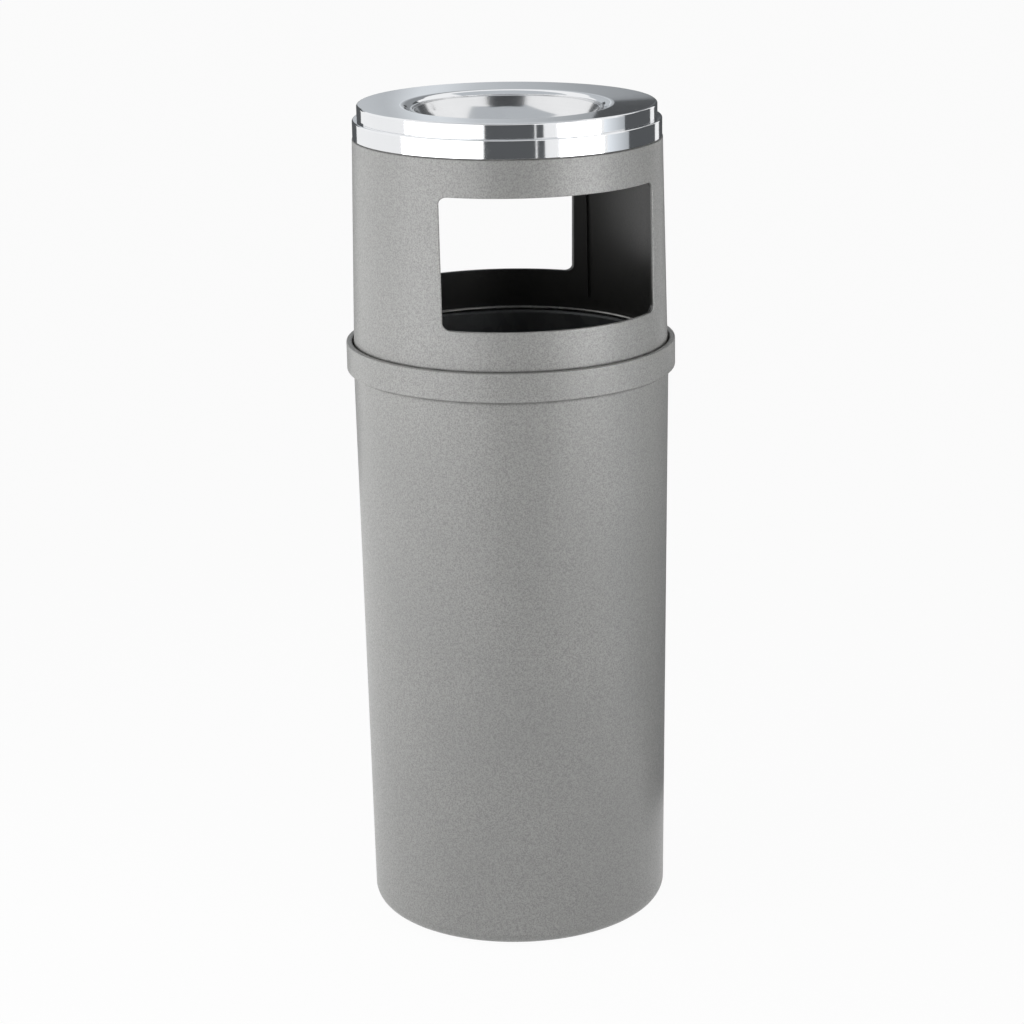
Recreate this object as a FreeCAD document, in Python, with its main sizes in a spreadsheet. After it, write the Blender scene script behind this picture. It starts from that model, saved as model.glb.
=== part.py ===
import FreeCAD, Part
import math
import os
import re

import Sketcher
from FreeCAD import Placement, Rotation, Vector

# Floor-standing trash can with an ashtray on top, in millimetres.
# The floor is z = 0, the axis of the can is Z, and the two openings of the hood face -Y and +Y.

SIZES = [
    # base
    ("waist_radius", 189, "outside of the base just under its collar"),
    ("foot_taper", 7.6, "how much smaller the base is at the floor, on the radius"),
    ("base_height", 715.5, "floor to the top of the collar, where base and hood meet"),
    ("base_wall", 4.5, "wall of the base"),
    ("base_floor", 5, "floor of the base"),
    ("foot_edge_round", 18, "rounding of the bottom edge"),
    ("foot_ring_width", 14.5, "flat ring that stands on the floor"),
    ("foot_recess", 12, "height of the recess inside that ring"),
    ("foot_round", 2, "rounding of the recess"),
    ("base_inner_round", 15, "rounding between wall and floor inside the base"),
    ("collar_step", 8, "how far the collar stands out from the base"),
    ("collar_height", 35.5, "height of the collar band"),
    ("collar_wall", 7, "outer wall of the collar"),
    ("collar_slope", 2, "fall of the collar's underside towards the base"),
    ("collar_edge_round", 1.5, "rounding of the collar's lower edge"),
    ("collar_root_round", 1.5, "hollow rounding where the collar leaves the base"),
    ("joint_round", 1.4, "rounding of the collar's upper edges and the hood's"),
    ("channel_floor", 8.5, "thickness below the channel that takes the hood"),
    ("neck_wall", 5, "inner neck that guides the hood and carries the liner"),
    ("neck_drop", 12.5, "top of the neck below the top of the collar"),
    ("neck_slope", 16, "height of the slope under the neck"),
    ("neck_round", 0.6, "rounding of the top of the neck"),
    # hood
    ("hood_step", 9.1, "how far the hood stands in from the collar"),
    ("hood_taper", 5.1, "how much smaller the hood is at its top, on the radius"),
    ("hood_height", 242.5, "top of the collar to the lower edge of the metal ring"),
    ("hood_wall", 4.5, "wall of the hood"),
    ("hood_fit", 0.8, "clearance between hood and neck, on the radius"),
    ("key_width", 10, "key that stops the hood from turning"),
    ("key_depth", 4, "how far the key stands in from the hood's foot"),
    ("key_drop", 2, "top of the key below the top of the neck"),
    ("key_clearance", 0.5, "clearance beside the key"),
    ("opening_width", 259, "width of an opening, measured straight across"),
    ("opening_height", 152.5, "height of an opening"),
    ("opening_sill", 45.5, "lower edge of an opening above the collar"),
    ("opening_corner", 8, "rounding of the corners of an opening"),
    ("opening_edge_round", 1.2, "rounding of the edges of an opening"),
    ("strip_width", 22, "raised strip inside the hood beside an opening"),
    ("strip_depth", 2.2, "how far the strip stands in from the wall"),
    ("strip_lift", 14, "lower end of the strip above the collar"),
    ("strip_trim", 6, "extra width of the strip, cut away again with the opening"),
    ("rebate_slope", 10, "height of the slope inside the hood below the ring"),
    ("flange_sheet", 4.5, "top flange of the hood"),
    ("flange_round", 3, "rounding under the top flange"),
    ("boss_radius", 7.2, "screw boss under the top flange"),
    ("boss_depth", 14, "length of a screw boss"),
    # metal ring and its screws
    ("ring_inset", 0.7, "ring inside the outline of the hood"),
    ("ring_height", 21.5, "height of the ring"),
    ("ring_sheet", 1.5, "sheet of the ring"),
    ("ring_flange", 20.6, "width of the ring's flat top"),
    ("ring_fit", 0.4, "clearance between ring and hood, on the radius"),
    ("ring_gap", 0.6, "shadow gap under the ring"),
    ("ring_edge_round", 2, "rounding of the ring's upper edge"),
    ("screw_count", 4, "screws that hold the ring"),
    ("screw_inset", 8, "screw axis out from the inner edge of the flange"),
    ("screw_shank", 2, "radius of a screw"),
    ("screw_length", 14, "length of a screw below its head"),
    ("screw_head", 4, "radius of a screw head"),
    ("screw_head_height", 2.6, "height of a screw head"),
    ("screw_head_round", 1.6, "rounding of a screw head"),
    ("screw_cross", 2.3, "half length of the cross in a screw head"),
    ("screw_cross_width", 0.9, "width of the cross in a screw head"),
    ("screw_cross_depth", 1.3, "depth of the cross in a screw head"),
    ("screw_clearance", 0.1, "clearance round a screw, on the radius"),
    # ashtray cap
    ("ledge_width", 5.6, "cap inside the outline of the ring"),
    ("cap_height", 17.8, "height of the cap above the ring"),
    ("cap_sheet", 1.5, "sheet of the cap"),
    ("cap_edge_round", 2.6, "rounding of the cap's upper edge"),
    ("cap_rim", 55.5, "rim of the cap, from its edge to the lip round the bowl"),
    ("rim_dish", 2.5, "how far the rim falls from its edge to the lip"),
    ("lip_round", 13, "rounding of the lip round the bowl"),
    ("lip_slope", 6, "how much the lip narrows down to the seat, on the radius"),
    ("seat_depth", 9.3, "seat of the bowl below the top of the cap"),
    ("seat_width", 4, "width of the seat of the bowl"),
    ("tab_count", 3, "tabs that keep the cap centred"),
    ("tab_width", 20, "width of a tab"),
    ("tab_sheet", 1.2, "sheet of a tab"),
    ("tab_foot", 13, "part of the tab that is welded under the cap"),
    ("tab_length", 10, "how far a tab reaches below the ring"),
    ("tab_lead", 3, "length of the slanted end of a tab"),
    ("tab_bend", 1.6, "how far the end of a tab slants in"),
    ("tab_clearance", 0.5, "clearance between tab and ring, on the radius"),
    # ash bowl
    ("bowl_sheet", 1.2, "sheet of the bowl"),
    ("bowl_depth", 36, "depth of the bowl"),
    ("bowl_slope", 22, "how much the bowl narrows to its floor, on the radius"),
    ("bowl_floor_round", 56, "rounding between wall and floor of the bowl"),
    ("bowl_entry_round", 1, "rounding of the bowl's upper edge"),
    ("bowl_rim_width", 3.4, "rolled edge of the bowl"),
    ("bowl_rim_height", 2.8, "height of the rolled edge"),
    ("bowl_rim_round", 0.8, "rounding of the rolled edge"),
    ("bowl_clearance", 0.6, "clearance round the bowl, on the radius"),
    # liner
    ("bead_radius", 3.5, "outside radius of the liner's rolled rim"),
    ("bead_bearing", 0.3, "middle of the rim out from the neck's inner edge"),
    ("bead_gap", 0.2, "clearance under the rim"),
    ("bead_flat", 0.1, "short flats between the quarter rounds of the rim"),
    ("curl_opening", 1.2, "opening between the end of the roll and the wall"),
    ("liner_sheet", 1, "sheet of the liner"),
    ("liner_taper", 15.5, "how much smaller the liner is at its foot, on the radius"),
    ("liner_floor_gap", 45, "foot of the liner above the floor of the base"),
    ("liner_hem", 10, "inward hem that carries the liner's floor"),
    ("liner_floor_fit", 0.3, "clearance round the liner's floor, on the radius"),
    ("rim_wire_fit", 0.3, "clearance between the rim and its wire"),
    # ears, rivets and wire handle
    ("ear_width", 24, "width of an ear"),
    ("ear_sheet", 2, "sheet of an ear"),
    ("ear_length", 42, "ear below the middle of the rim"),
    ("ear_rise", 8, "ear above the pivot of the handle"),
    ("ear_corner", 7, "rounding of the ear's upper corners"),
    ("ear_fit", 0.3, "clearance between ear and liner"),
    ("rivet_shank", 2, "radius of a rivet"),
    ("rivet_head", 4, "radius of a rivet head"),
    ("rivet_head_height", 1.3, "height of a rivet head"),
    ("rivet_head_round", 0.9, "rounding of a rivet head"),
    ("rivet_drop", 15, "upper rivet below the middle of the rim"),
    ("rivet_pitch", 18, "distance between the rivets of an ear"),
    ("rivet_fit", 0.15, "clearance round a rivet and under its heads"),
    ("bail_wire", 2.25, "radius of the handle's wire"),
    ("bail_offset", 0.4, "handle out from the middle of the rim"),
    ("bail_bend", 3.2, "bend between the handle and its ends"),
    ("bail_end", 6, "end of the handle inside an ear"),
    ("bail_rest", 0.25, "clearance between the resting handle and the rim"),
    ("pivot_fit", 0.08, "clearance of the handle in its ears, on the radius"),
]

# Radii and levels that several pieces share, worked out from the sizes above.
collar_radius = "(waist_radius + collar_step)"
foot_radius = "(waist_radius - foot_taper)"
collar_bottom = "(base_height - collar_height)"
channel_level = f"({collar_bottom} + channel_floor)"
base_floor_top = "(foot_recess + base_floor)"
hood_radius = f"({collar_radius} - hood_step)"
hood_top_radius = f"({hood_radius} - hood_taper)"
hood_inner_radius = f"({hood_radius} - hood_wall)"
neck_radius = f"({hood_inner_radius} - hood_fit)"
neck_inner_radius = f"({neck_radius} - neck_wall)"
neck_top = "(base_height - neck_drop)"
ring_bottom = "(base_height + hood_height)"
ring_top = f"({ring_bottom} + ring_height)"
ring_radius = f"({hood_top_radius} - ring_inset)"
ring_hole_radius = f"({ring_radius} - ring_flange)"
screw_circle = f"({ring_hole_radius} + screw_inset)"
flange_top = f"({ring_top} - ring_sheet)"
flange_under = f"({flange_top} - flange_sheet)"
rebate_radius = f"({ring_radius} - ring_sheet - ring_fit)"
shoulder = f"({ring_bottom} - ring_gap)"
opening_bottom = "(base_height + opening_sill)"
opening_top = f"({opening_bottom} + opening_height)"
cap_radius = f"({ring_radius} - ledge_width)"
cap_top = f"({ring_top} + cap_height)"
cap_under = f"({cap_top} - cap_sheet)"
skirt_inside = f"({cap_radius} - cap_sheet)"
lip_radius = f"({cap_radius} - cap_rim)"
lip_level = f"({cap_top} - rim_dish)"
lip_offset = "(cap_sheet - cap_sheet * lip_slope / (seat_depth - rim_dish))"
lip_outside = f"({lip_radius} + {lip_offset})"
seat_radius = f"({lip_radius} - lip_slope)"
seat_level = f"({cap_top} - seat_depth)"
seat_hole_radius = f"({seat_radius} - seat_width)"
bead_centre = f"({neck_inner_radius} + bead_bearing)"
bead_level = f"({neck_top} + bead_gap + bead_radius)"
bead_inside = f"({bead_centre} - bead_radius)"
liner_foot = f"({base_floor_top} + liner_floor_gap)"
liner_narrowing = f"(liner_taper / ({bead_level} - {liner_foot}))"
pivot_level = f"({bead_level} + bead_radius + bail_rest + bail_wire)"
bail_radius = f"({bead_centre} + bail_offset)"

doc = FreeCAD.newDocument("TrashCanWithAshtray")
sheet = doc.addObject("Spreadsheet::Sheet", "Sizes")
for row, (alias, size, meaning) in enumerate(SIZES, start=1):
    sheet.set(f"A{row}", alias)
    sheet.set(f"B{row}", str(size))
    sheet.set(f"C{row}", meaning)
    sheet.setAlias(f"B{row}", alias)
doc.recompute()

aliases = {alias for alias, size, meaning in SIZES}


def bound(expression):
    """The expression with every size read from its cell."""
    return re.sub(r"[a-z_]+", lambda word: "Sizes." + word[0] if word[0] in aliases else word[0], expression)


def number(expression):
    """The expression's present value."""
    return float(sheet.evalExpression(bound(expression)))


def inner_hood_radius(level):
    """Inside of the hood at a level: a cone from its foot to the shoulder under the ring."""
    return f"({hood_inner_radius} - hood_taper * ({level} - {channel_level}) / ({shoulder} - {channel_level}))"


def inner_base_radius(level):
    """Inside of the base wall at a level, parallel to its outside."""
    return f"({foot_radius} - base_wall + foot_taper * {level} / {collar_bottom})"


def inner_liner_radius(level):
    """Inside of the liner wall at a level."""
    return f"({bead_inside} - {liner_narrowing} * ({bead_level} - {level}))"


def rim_under(radius):
    """Underside of the cap's dished rim at a radius."""
    return f"({cap_under} - rim_dish * ({skirt_inside} - {radius}) / ({skirt_inside} - {lip_outside}))"


def new_body(label):
    body = doc.addObject("PartDesign::Body", label)
    body.Label = label
    return body


def origin_feature(body, role):
    return next(feature for feature in body.Origin.OriginFeatures if feature.Role == role)


def new_sketch(body, name, plane, shift=None, turn=None):
    """A sketch on an origin plane; shift moves it along its own axes, turn swings it about its upright axis."""
    sketch = body.newObject("Sketcher::SketchObject", name)
    sketch.AttachmentSupport = (origin_feature(body, plane), [""])
    sketch.MapMode = "FlatFace"
    for axis, distance in (shift or {}).items():
        sketch.setExpression(f"AttachmentOffset.Base.{axis}", bound(distance))
    if turn:
        sketch.AttachmentOffset = Placement(Vector(), Rotation(Vector(0, 1, 0), 1))
        sketch.setExpression("AttachmentOffset.Rotation.Angle", bound(turn))
    return sketch


def add_constraint(sketch, kind, *places, size=None):
    """One constraint, with its datum bound to an expression where it has one."""
    if size is None:
        sketch.addConstraint(Sketcher.Constraint(kind, *places))
        return
    index = sketch.addConstraint(Sketcher.Constraint(kind, *places, number(size)))
    sketch.setExpression(f"Constraints[{index}]", bound(size))


def place_point(sketch, item, end, across, upward):
    """Fix a point of the sketch at (across, upward)."""
    origin = (-1, 1)
    for kind, axis, size in (("DistanceX", -2, across), ("DistanceY", -1, upward)):
        if size == "0":
            add_constraint(sketch, "PointOnObject", item, end, axis)
        elif number(size) < 0:
            add_constraint(sketch, kind, item, end, *origin, size=f"-({size})")
        else:
            add_constraint(sketch, kind, *origin, item, end, size=size)


def draw_profile(sketch, corners):
    """A closed outline through corners (across, upward) or (across, upward, rounding)."""
    points = [Vector(number(corner[0]), number(corner[1]), 0) for corner in corners]
    roundings = [corner[2] if len(corner) > 2 else None for corner in corners]
    count = len(corners)
    starts, ends, arcs = [], [], []
    for index, (point, rounding) in enumerate(zip(points, roundings)):
        incoming = (point - points[index - 1]).normalize()
        outgoing = (points[(index + 1) % count] - point).normalize()
        turn = incoming.cross(outgoing).z
        if rounding is None:
            ends.append(point)
            starts.append(point)
            arcs.append(None)
            continue
        radius = number(rounding)
        reach = radius * math.tan(incoming.getAngle(outgoing) / 2)
        ends.append(point - incoming * reach)
        starts.append(point + outgoing * reach)
        side = Vector(-incoming.y, incoming.x, 0) * math.copysign(1, turn)
        centre = ends[index] + side * radius
        first, last = (ends[index], starts[index]) if turn > 0 else (starts[index], ends[index])
        angles = [math.atan2(end.y - centre.y, end.x - centre.x) for end in (first, last)]
        arcs.append((Part.ArcOfCircle(Part.Circle(centre, Vector(0, 0, 1), radius), *angles), turn > 0))
    for index in range(count):
        sketch.addGeometry(Part.LineSegment(starts[index], ends[(index + 1) % count]))
    for index, (across, upward, *rest) in enumerate(corners):
        before = (index - 1) % count
        if arcs[index] is None:
            add_constraint(sketch, "Coincident", before, 2, index, 1)
            place_point(sketch, index, 1, across, upward)
            continue
        arc, leftward = arcs[index]
        arc_index = sketch.addGeometry(arc)
        corner_index = sketch.addGeometry(Part.Point(points[index]), True)
        arc_in, arc_out = (1, 2) if leftward else (2, 1)
        add_constraint(sketch, "Tangent", before, 2, arc_index, arc_in)
        add_constraint(sketch, "Tangent", arc_index, arc_out, index, 1)
        add_constraint(sketch, "PointOnObject", corner_index, 1, before)
        add_constraint(sketch, "PointOnObject", corner_index, 1, index)
        add_constraint(sketch, "Radius", arc_index, size=rest[0])
        place_point(sketch, corner_index, 1, across, upward)
    return sketch


def draw_circle(sketch, across, upward, radius):
    centre = Vector(number(across), number(upward), 0)
    index = sketch.addGeometry(Part.Circle(centre, Vector(0, 0, 1), number(radius)))
    add_constraint(sketch, "Radius", index, size=radius)
    place_point(sketch, index, 3, across, upward)
    return sketch


def revolve(body, name, sketch, axis="V_Axis", angle=None):
    """Turn a profile about an axis of its sketch, all the way or through an angle centred on the sketch."""
    feature = body.newObject("PartDesign::Revolution", name)
    feature.Profile = sketch
    feature.ReferenceAxis = (sketch, [axis])
    feature.Angle = 360
    if angle:
        feature.Midplane = True
        feature.setExpression("Angle", bound(angle))
    return feature


def extrude(body, name, kind, sketch, length, both_ways=False, downward=False):
    """A Pad or Pocket; downward turns a Pad against the normal of its sketch."""
    feature = body.newObject(f"PartDesign::{kind}", name)
    feature.Profile = sketch
    feature.SideType = "Symmetric" if both_ways else "One side"
    feature.Reversed = downward
    feature.setExpression("Length", bound(length))
    return feature


def repeat_round(body, name, features, count):
    """Copies of features evenly round the Z axis."""
    pattern = body.newObject("PartDesign::PolarPattern", name)
    pattern.Originals = features
    pattern.Axis = (origin_feature(body, "Z_Axis"), [""])
    pattern.Angle = 360
    pattern.setExpression("Occurrences", bound(count))
    body.Tip = pattern
    return pattern


def round_edges(body, name, radius, wanted):
    """Round the edges of the body that pass a test."""
    doc.recompute()
    base = body.Tip
    edges = [f"Edge{index}" for index, edge in enumerate(base.Shape.Edges, start=1) if wanted(edge)]
    feature = body.newObject("PartDesign::Fillet", name)
    feature.Base = (base, edges)
    feature.setExpression("Radius", bound(radius))
    return feature


def arc_angle(width, radius):
    """The angle that a width takes up on a circle."""
    return f"({width}) / ({radius}) * 180deg / pi"


def make_base_shell():
    body = new_body("base_shell")
    recess_radius = f"({foot_radius} - foot_edge_round - foot_ring_width)"
    collar_inner_radius = f"({collar_radius} - collar_wall)"
    neck_foot = f"({channel_level} - base_wall)"
    slope_foot = f"({neck_foot} - neck_slope)"
    profile = draw_profile(new_sketch(body, "base_profile", "XZ_Plane"), [
        ("0", "foot_recess"),
        (recess_radius, "foot_recess", "foot_round"),
        (recess_radius, "0", "foot_round"),
        (foot_radius, "0", "foot_edge_round"),
        ("waist_radius", collar_bottom, "collar_root_round"),
        (collar_radius, f"{collar_bottom} + collar_slope", "collar_edge_round"),
        (collar_radius, "base_height", "joint_round"),
        (collar_inner_radius, "base_height", "joint_round"),
        (collar_inner_radius, channel_level),
        (neck_radius, channel_level),
        (neck_radius, neck_top, "neck_round"),
        (neck_inner_radius, neck_top, "neck_round"),
        (neck_inner_radius, neck_foot),
        (inner_base_radius(slope_foot), slope_foot),
        (inner_base_radius(base_floor_top), base_floor_top, "base_inner_round"),
        ("0", base_floor_top),
    ])
    revolve(body, "base_turned", profile)
    notch = "(key_width / 2 + key_clearance)"
    notch_sketch = draw_profile(new_sketch(body, "key_notch_profile", "XY_Plane", {"z": neck_top}), [
        (notch, f"-{hood_inner_radius}"),
        (notch, hood_inner_radius),
        (f"-{notch}", hood_inner_radius),
        (f"-{notch}", f"-{hood_inner_radius}"),
    ])
    extrude(body, "key_notches", "Pocket", notch_sketch, f"{neck_top} - {channel_level}")
    return body


def make_hood_shell():
    body = new_body("hood_shell")
    rebate_inside = f"({rebate_radius} - hood_wall)"
    slope_foot = f"({shoulder} - rebate_slope)"
    profile = draw_profile(new_sketch(body, "hood_profile", "XZ_Plane"), [
        (ring_hole_radius, flange_under),
        (rebate_inside, flange_under, "flange_round"),
        (rebate_inside, shoulder),
        (inner_hood_radius(slope_foot), slope_foot),
        (hood_inner_radius, channel_level),
        (hood_radius, channel_level),
        (hood_radius, "base_height"),
        (hood_top_radius, shoulder, "joint_round"),
        (rebate_radius, shoulder),
        (rebate_radius, flange_top, "joint_round"),
        (ring_hole_radius, flange_top),
    ])
    revolve(body, "hood_turned", profile)
    add_opening_strips(body)
    add_hood_keys(body)
    bosses = extrude(body, "screw_boss", "Pad", draw_circle(
        new_sketch(body, "screw_boss_profile", "XY_Plane", {"z": flange_under}),
        screw_circle, "0", "boss_radius"), "boss_depth", downward=True)
    repeat_round(body, "screw_bosses", [bosses], "screw_count")
    pilot = extrude(body, "screw_hole", "Pocket", draw_circle(
        new_sketch(body, "screw_hole_profile", "XY_Plane", {"z": flange_top}),
        screw_circle, "0", "screw_shank + screw_clearance"), "flange_sheet + boss_depth")
    repeat_round(body, "screw_holes", [pilot], "screw_count")
    cut_openings(body)
    return body


def add_opening_strips(body):
    """Raised upright strips inside the hood, beside both edges of both openings."""
    strip_bottom = "(base_height + strip_lift)"
    jamb_radius = inner_hood_radius(opening_bottom)
    span = "(strip_width + strip_trim)"
    middle = arc_angle("strip_width / 2 - strip_trim / 2", jamb_radius)
    from_opening = f"asin(opening_width / 2 / {jamb_radius}) + {middle}"
    for side, turn in (("right", f"90deg - ({from_opening})"), ("left", f"90deg + {from_opening}")):
        sketch = new_sketch(body, f"strip_profile_{side}", "XZ_Plane", turn=turn)
        draw_profile(sketch, [
            (f"{inner_hood_radius(strip_bottom)} - strip_depth", strip_bottom),
            (f"{inner_hood_radius(strip_bottom)} + hood_wall / 2", strip_bottom),
            (f"{inner_hood_radius(shoulder)} + hood_wall / 2", shoulder),
            (f"{inner_hood_radius(shoulder)} - strip_depth", shoulder),
        ])
        strip = revolve(body, f"strip_{side}", sketch, angle=arc_angle(span, jamb_radius))
        repeat_round(body, f"strips_{side}", [strip], "2")


def add_hood_keys(body):
    """Two keys on the hood's foot that drop into the notches of the neck."""
    key_inside = f"({hood_inner_radius} - key_depth)"
    key_root = f"({hood_inner_radius} + hood_wall / 2)"
    sketch = draw_profile(new_sketch(body, "key_profile", "XY_Plane", {"z": channel_level}), [
        ("key_width / 2", key_inside),
        ("key_width / 2", key_root),
        ("-key_width / 2", key_root),
        ("-key_width / 2", key_inside),
    ])
    key = extrude(body, "key", "Pad", sketch, f"{neck_top} - key_drop - {channel_level}")
    repeat_round(body, "keys", [key], "2")


def cut_openings(body):
    """The two openings, cut straight through along Y, with rounded corners and edges."""
    side = "(opening_width / 2)"
    sketch = draw_profile(new_sketch(body, "opening_profile", "XZ_Plane"), [
        (side, opening_bottom, "opening_corner"),
        (side, opening_top, "opening_corner"),
        (f"-{side}", opening_top, "opening_corner"),
        (f"-{side}", opening_bottom, "opening_corner"),
    ])
    extrude(body, "openings", "Pocket", sketch, f"2 * {collar_radius}", both_ways=True)
    reach = number(side) + number("joint_round")
    lowest = number(opening_bottom) - number("joint_round")
    highest = number(opening_top) + number("joint_round")
    wall_middle = number(f"{hood_radius} - hood_wall / 2 - hood_taper")

    def along_outside(edge):
        box = edge.BoundBox
        within = abs(box.XMin) < reach and abs(box.XMax) < reach and box.ZMin > lowest and box.ZMax < highest
        middle = edge.valueAt((edge.FirstParameter + edge.LastParameter) / 2)
        return within and math.hypot(middle.x, middle.y) > wall_middle

    round_edges(body, "opening_edges", "opening_edge_round", along_outside)


def make_trim_ring():
    body = new_body("trim_ring")
    profile = draw_profile(new_sketch(body, "ring_profile", "XZ_Plane"), [
        (ring_radius, ring_bottom),
        (ring_radius, ring_top, "ring_edge_round"),
        (ring_hole_radius, ring_top),
        (ring_hole_radius, flange_top),
        (f"{ring_radius} - ring_sheet", flange_top, "ring_edge_round - ring_sheet"),
        (f"{ring_radius} - ring_sheet", ring_bottom),
    ])
    revolve(body, "ring_turned", profile)
    hole = extrude(body, "ring_hole", "Pocket", draw_circle(
        new_sketch(body, "ring_hole_profile", "XY_Plane", {"z": ring_top}),
        screw_circle, "0", "screw_shank + screw_clearance"), "ring_sheet")
    repeat_round(body, "ring_holes", [hole], "screw_count")
    return body


def make_trim_ring_screws():
    body = new_body("trim_ring_screws")
    head_top = f"({ring_top} + screw_head_height)"
    screw_end = f"({ring_top} - screw_length)"
    sketch = new_sketch(body, "screw_profile", "XZ_Plane", {"x": screw_circle})
    draw_profile(sketch, [
        ("0", screw_end),
        ("screw_shank", screw_end),
        ("screw_shank", ring_top),
        ("screw_head", ring_top),
        ("screw_head", head_top, "screw_head_round"),
        ("0", head_top),
    ])
    screw = revolve(body, "screw", sketch)
    arm, half = "screw_cross", "screw_cross_width / 2"
    cross = new_sketch(body, "cross_profile", "XY_Plane", {"x": screw_circle, "z": head_top})
    draw_profile(cross, [
        (arm, f"-{half}"), (arm, half), (half, half), (half, arm),
        (f"-{half}", arm), (f"-{half}", half), (f"-{arm}", half), (f"-{arm}", f"-{half}"),
        (f"-{half}", f"-{half}"), (f"-{half}", f"-{arm}"), (half, f"-{arm}"), (half, f"-{half}"),
    ])
    recess = extrude(body, "cross", "Pocket", cross, "screw_cross_depth")
    repeat_round(body, "screws", [screw, recess], "screw_count")
    return body


def make_ashtray_top():
    body = new_body("ashtray_top")
    profile = draw_profile(new_sketch(body, "cap_profile", "XZ_Plane"), [
        (cap_radius, ring_top),
        (cap_radius, cap_top, "cap_edge_round"),
        (lip_radius, lip_level, "lip_round"),
        (seat_radius, seat_level),
        (seat_hole_radius, seat_level),
        (seat_hole_radius, f"{seat_level} - cap_sheet"),
        (f"{seat_radius} + {lip_offset}", f"{seat_level} - cap_sheet"),
        (lip_outside, f"{lip_level} - cap_sheet", "lip_round - cap_sheet"),
        (skirt_inside, cap_under, "cap_edge_round - cap_sheet"),
        (skirt_inside, ring_top),
    ])
    revolve(body, "cap_turned", profile)
    return body


def make_locating_tabs():
    body = new_body("locating_tabs")
    outside = f"({ring_hole_radius} - tab_clearance)"
    inside = f"({outside} - tab_sheet)"
    foot = f"({outside} - tab_foot)"
    lead_top = f"({ring_top} - tab_length)"
    lead_end = f"({lead_top} - tab_lead)"
    sketch = draw_profile(new_sketch(body, "tab_profile", "XZ_Plane"), [
        (foot, rim_under(foot)),
        (foot, f"{rim_under(foot)} - tab_sheet"),
        (inside, f"{rim_under(inside)} - tab_sheet"),
        (inside, lead_top),
        (f"{inside} - tab_bend", lead_end),
        (f"{outside} - tab_bend", lead_end),
        (outside, lead_top),
        (outside, rim_under(outside)),
    ])
    tab = revolve(body, "tab", sketch, angle=arc_angle("tab_width", outside))
    repeat_round(body, "tabs", [tab], "tab_count")
    return body


def make_ash_bowl():
    body = new_body("ash_bowl")
    rim_outside = f"({seat_radius} - bowl_clearance)"
    rim_inside = f"({rim_outside} - bowl_rim_width)"
    rim_top = f"({seat_level} + bowl_rim_height)"
    flange = f"({seat_level} + bowl_sheet)"
    throat = f"({seat_hole_radius} - bowl_clearance - bowl_sheet)"
    floor_radius = f"({throat} - bowl_slope)"
    floor_top = f"({flange} - bowl_depth)"
    floor_corner = f"({floor_radius} + bowl_sheet - bowl_sheet * bowl_slope / bowl_depth)"
    profile = draw_profile(new_sketch(body, "bowl_profile", "XZ_Plane"), [
        ("0", f"{floor_top} - bowl_sheet"),
        (floor_corner, f"{floor_top} - bowl_sheet", "bowl_floor_round + bowl_sheet"),
        (f"{throat} + bowl_sheet", seat_level),
        (rim_outside, seat_level),
        (rim_outside, rim_top, "bowl_rim_round"),
        (rim_inside, rim_top, "bowl_rim_round"),
        (rim_inside, flange),
        (throat, flange, "bowl_entry_round"),
        (floor_radius, floor_top, "bowl_floor_round"),
        ("0", floor_top),
    ])
    revolve(body, "bowl_turned", profile)
    return body


def make_liner_wall():
    body = new_body("liner_wall")
    bead_top = f"({bead_level} + bead_radius)"
    bead_bottom = f"({bead_level} - bead_radius)"
    bead_outside = f"({bead_centre} + bead_radius)"
    outer_round = "bead_radius - bead_flat"
    inner_round = "bead_radius - liner_sheet - bead_flat"
    curl_end = f"({bead_inside} + liner_sheet + curl_opening)"
    foot_inside = inner_liner_radius(liner_foot)
    profile = draw_profile(new_sketch(body, "liner_profile", "XZ_Plane"), [
        (f"{foot_inside} - liner_hem", liner_foot),
        (f"{foot_inside} + liner_sheet", liner_foot),
        (f"{bead_inside} + liner_sheet", bead_level),
        (f"{bead_inside} + liner_sheet", f"{bead_top} - liner_sheet", inner_round),
        (f"{bead_outside} - liner_sheet", f"{bead_top} - liner_sheet", inner_round),
        (f"{bead_outside} - liner_sheet", f"{bead_bottom} + liner_sheet", inner_round),
        (curl_end, f"{bead_bottom} + liner_sheet"),
        (curl_end, bead_bottom),
        (bead_outside, bead_bottom, outer_round),
        (bead_outside, bead_top, outer_round),
        (bead_inside, bead_top, outer_round),
        (bead_inside, bead_level),
        (inner_liner_radius(f"({liner_foot} + liner_sheet)"), f"{liner_foot} + liner_sheet"),
        (f"{foot_inside} - liner_hem", f"{liner_foot} + liner_sheet"),
    ])
    revolve(body, "liner_turned", profile)
    for name, drop in rivet_rows():
        hole = draw_circle(new_sketch(body, f"{name}_hole_profile", "YZ_Plane"),
                           "0", f"{bead_level} - ({drop})", "rivet_shank + rivet_fit")
        extrude(body, f"{name}_holes", "Pocket", hole, f"2 * {collar_radius}", both_ways=True)
    return body


def rivet_rows():
    """The two rivets of an ear, one above the other, by their distance below the middle of the rim."""
    return ("upper_rivet", "rivet_drop"), ("lower_rivet", "rivet_drop + rivet_pitch")


def make_liner_floor():
    body = new_body("liner_floor")
    under = f"({liner_foot} + liner_sheet)"
    outside = f"({inner_liner_radius(under)} - liner_floor_fit)"
    profile = draw_profile(new_sketch(body, "floor_profile", "XZ_Plane"), [
        ("0", under),
        (outside, under),
        (outside, f"{under} + liner_sheet"),
        ("0", f"{under} + liner_sheet"),
    ])
    revolve(body, "floor_turned", profile)
    return body


def make_liner_rim_wire():
    body = new_body("liner_rim_wire")
    sketch = draw_circle(new_sketch(body, "rim_wire_profile", "XZ_Plane"),
                         bead_centre, bead_level, "bead_radius - liner_sheet - rim_wire_fit")
    revolve(body, "rim_wire_turned", sketch)
    return body


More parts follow.
